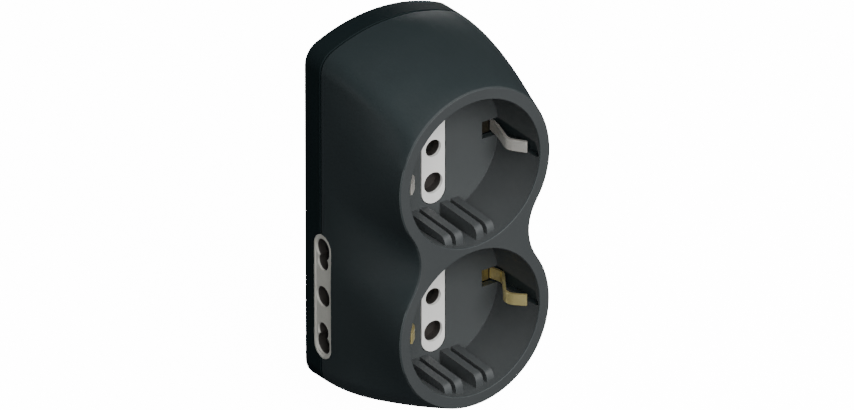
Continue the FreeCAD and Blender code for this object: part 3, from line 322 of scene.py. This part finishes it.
def sheet_metal(name, low, high, stain, roughness, stretch):
    """Rolled or plated metal: fine lines, a cloudy colour and a few duller patches."""
    material, wire, shader = new_finish(name)
    cloud = wire.noise(METAL_CLOUDS, 3.0)
    patch = wire.noise(PATCHES, 4.0, 0.6).over(0.60, 0.16)
    lines = wire.noise(METAL_LINES, 2.0, 0.6, stretch=stretch)
    clean = cloud.blend(rgb(*low), rgb(*high))
    feed(wire, shader, Base_Color=(patch * 0.55).blend(clean, rgb(*stain)),
         Metallic=0.80 - patch * 0.15,
         Roughness=roughness + patch * 0.14 + (lines - 0.5) * 0.14,
         Normal=relief(wire, lines * 0.7 + cloud * 0.3, METAL_RELIEF))
    return material


# Name, darker shade, lighter shade, roughness, depth of the grain
PLASTICS = {
    "carrier_plastic": ("carrier_black", (0.010, 0.010, 0.010), (0.020, 0.019, 0.018),
                        0.5, COARSE_RELIEF),
    "shutter_plastic": ("shutter_dark_brown", (0.012, 0.010, 0.009), (0.026, 0.022, 0.019),
                        0.55, COARSE_RELIEF),
    "sleeve_plastic": ("sleeve_black", (0.012, 0.012, 0.013), (0.022, 0.022, 0.023),
                       0.38, FINE_RELIEF),
}

# Name, darker shade, lighter shade, stain, roughness, run of the lines
METALS = {
    "nickel_plate": ("nickel_satin", (0.62, 0.60, 0.56), (0.74, 0.72, 0.67),
                     (0.45, 0.42, 0.36), 0.42, LENGTHWISE),
    "spring_brass": ("brass_strip", (0.62, 0.52, 0.22), (0.76, 0.66, 0.32),
                     (0.42, 0.34, 0.14), 0.34, LENGTHWISE),
    "contact_brass": ("brass_contact", (0.62, 0.47, 0.20), (0.75, 0.58, 0.27),
                      (0.40, 0.28, 0.12), 0.30, LENGTHWISE),
    "spring_steel": ("spring_wire", (0.42, 0.42, 0.43), (0.54, 0.54, 0.55),
                     (0.28, 0.27, 0.26), 0.30, EVEN),
    "screw_steel": ("screw_black_steel", (0.10, 0.10, 0.11), (0.17, 0.17, 0.18),
                    (0.07, 0.06, 0.055), 0.36, EVEN),
}

# The two straps are darker than the brass clips that share their slot; the upper one is painted
# near black as shade
STRAPS = {
    # Painted shade: the upper strap is painted near black
    "upper_earth_strap": ("strap_upper_painted_shade", (0.020, 0.018, 0.012), (0.035, 0.030, 0.018),
                          (0.012, 0.010, 0.008), 0.60, LENGTHWISE),
    "lower_earth_strap": ("strap_dull_brass", (0.20, 0.16, 0.06), (0.30, 0.25, 0.10),
                          (0.10, 0.08, 0.04), 0.45, LENGTHWISE),
}

SLOT_FINISHES = {"housing_plastic": housing_finish(), "insert_plastic": insert_finish()}
for slot, look in PLASTICS.items():
    SLOT_FINISHES[slot] = plain_plastic(*look)
for slot, look in METALS.items():
    SLOT_FINISHES[slot] = sheet_metal(*look)

NODE_FINISHES = {"back_cover": cover_finish()}
for node, look in STRAPS.items():
    NODE_FINISHES[node] = sheet_metal(*look)


# Pieces

WELD = 0.004 * MM               # corners closer than this are one
HOUSING_CREASE = 40             # edges sharper than this many degrees stay sharp
SMALL_CREASE = 30
HOUSING_HALVES = ("front_shell", "back_cover")


def crease(shape, degrees):
    """Smooth faces that keep the edges sharper than an angle."""
    for face in shape.faces:
        face.smooth = True
    for edge in shape.edges:
        edge.smooth = len(edge.link_faces) == 2 and edge.calc_face_angle() < math.radians(degrees)


def moulded(node, body, slot, degrees):
    """A welded, smoothly shaded copy of a solid, so that its curved faces shine evenly."""
    shape = bmesh.new()
    shape.from_mesh(frame["nodes"][node].data)
    bmesh.ops.remove_doubles(shape, verts=shape.verts, dist=WELD)
    bmesh.ops.dissolve_degenerate(shape, edges=shape.edges, dist=WELD / 4)
    crease(shape, degrees)
    mesh = bpy.data.meshes.new(node + "_finished")
    shape.to_mesh(mesh)
    shape.free()
    for name in ("custom_normal", "sharp_face"):
        if name in mesh.attributes:
            mesh.attributes.remove(mesh.attributes[name])
    mesh.materials.clear()
    mesh.materials.append(NODE_FINISHES.get(node, SLOT_FINISHES[slot]))
    piece = bpy.data.objects.new(node + "_finished", mesh)
    bpy.context.scene.collection.objects.link(piece)
    even = piece.modifiers.new("even_shading", "WEIGHTED_NORMAL")
    even.keep_sharp = True
    even.weight = 90
    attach(piece, body)
    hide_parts(node)


body_of = {}
for body, members in frame["record"]["behaviour"]["bodies"].items():
    for member in members:
        body_of[member] = body
slot_of = {entry["node"]: entry["material_slot"] for entry in frame["record"]["subparts"]}

for node in sorted(frame["nodes"]):
    degrees = HOUSING_CREASE if node in HOUSING_HALVES else SMALL_CREASE
    moulded(node, body_of[node], slot_of[node], degrees)


# Studio, in metres

FLOOR_GAP = 0.4 * MM            # between the adapter's lowest point and the floor
FLOOR_REACH = 1.6
BEND_START = 0.9                # where the sheet starts to curve up
BEND_RADIUS = 0.5
BEND_STEPS = 16
FLOOR_GLOW = 14.0
DIM_SURROUNDINGS = 0.06
WHITE_BACKDROP = 20.0


def studio_floor():
    """A pale sheet that curves up behind the adapter."""
    level = CAD_BOX[0][2] - FLOOR_GAP
    sheet = bmesh.new()
    outline = ((-FLOOR_REACH, -FLOOR_REACH), (FLOOR_REACH, -FLOOR_REACH),
               (FLOOR_REACH, BEND_START), (-FLOOR_REACH, BEND_START))
    sheet.faces.new([sheet.verts.new((x, y, level)) for x, y in outline])
    far_edge = [e for e in sheet.edges if all(abs(v.co.y - BEND_START) < 1e-6 for v in e.verts)]
    bmesh.ops.spin(sheet, geom=far_edge, cent=(0, BEND_START, level + BEND_RADIUS),
                   axis=(1, 0, 0), angle=math.radians(90), steps=BEND_STEPS)
    mesh = bpy.data.meshes.new("studio_floor")
    sheet.to_mesh(mesh)
    sheet.free()
    mesh.shade_smooth()
    material, wire, shader = new_finish("pale_paper")
    tone = wire.noise(14)
    feed(wire, shader, Base_Color=tone.blend(rgb(0.88, 0.88, 0.88), rgb(0.92, 0.92, 0.92)),
         Roughness=0.9, Emission_Color=rgb(1, 1, 1), Emission_Strength=FLOOR_GLOW)
    mesh.materials.append(material)
    floor = bpy.data.objects.new("studio_floor", mesh)
    bpy.context.scene.collection.objects.link(floor)
    floor.visible_diffuse = False
    floor.visible_glossy = False


def studio_air():
    """Dim surroundings for the adapter, and a white backdrop where no floor is in view."""
    world = bpy.data.worlds.new("studio_air")
    world.use_nodes = True
    tree = world.node_tree
    tree.nodes.clear()
    wire = Wire(tree)
    seen = wire.node("ShaderNodeLightPath", {}, {}, output=0)
    around = wire.node("ShaderNodeBackground", {},
                       {"Color": rgb(0.80, 0.90, 1.0), "Strength": DIM_SURROUNDINGS})
    backdrop = wire.node("ShaderNodeBackground", {},
                         {"Color": rgb(1, 1, 1), "Strength": WHITE_BACKDROP})
    mixed = wire.node("ShaderNodeMixShader", {}, {0: seen, 1: around, 2: backdrop})
    out = tree.nodes.new("ShaderNodeOutputWorld")
    tree.links.new(mixed.socket, out.inputs["Surface"])
    bpy.context.scene.world = world


# The photograph's view: from the left and above, and so far away that lines stay parallel
VIEW_TARGET = Vector((-6.72, -30.01, 9.56)) * MM
VIEW_FROM = Vector((-0.5246, -0.7213, 0.4523)).normalized()
VIEW_DISTANCE = 4.416
LENS_MM = 760
SENSOR_MM = 36
NEAREST, FARTHEST = 0.05, 20


def aimed(thing, place, heading):
    """Put a camera or light at a place and turn it to look along a heading."""
    thing.location = place
    thing.rotation_mode = "QUATERNION"
    thing.rotation_quaternion = heading.to_track_quat("-Z", "Y")
    bpy.context.scene.collection.objects.link(thing)


def camera():
    """A camera at the photograph's angle."""
    data = bpy.data.cameras.new("camera")
    data.lens = LENS_MM
    data.sensor_width = SENSOR_MM
    data.clip_start = NEAREST
    data.clip_end = FARTHEST
    viewer = bpy.data.objects.new("camera", data)
    aimed(viewer, VIEW_TARGET + VIEW_FROM * VIEW_DISTANCE, -VIEW_FROM)
    bpy.context.scene.camera = viewer


# Name, place, width, height, watts
SOFTBOXES = [
    ("key_front_top", (-0.10, -1.02, 0.66), 0.7, 0.5, 16),
    ("sheen_above", (0.05, -0.50, 0.95), 0.8, 0.4, 7),
    ("fill_front_left", (-0.75, -1.00, 0.45), 0.6, 0.6, 12),
    ("rim_left", (-1.0, 0.45, -0.15), 0.4, 0.8, 0.6),
    ("fill_right", (0.9, -0.4, 0.5), 0.5, 0.8, 3),
    ("fill_behind", (0.3, 0.80, 0.04), 0.6, 0.14, 6),
]
LIGHT_AIM = Vector((0, -20 * MM, 0))


def softbox(name, place, width, height, watts):
    """A soft area light that looks at the adapter."""
    data = bpy.data.lights.new(name, "AREA")
    data.shape = "RECTANGLE"
    data.size = width
    data.size_y = height
    data.energy = watts
    aimed(bpy.data.objects.new(name, data), place, LIGHT_AIM - Vector(place))


camera()
studio_floor()
studio_air()
for light in SOFTBOXES:
    softbox(*light)
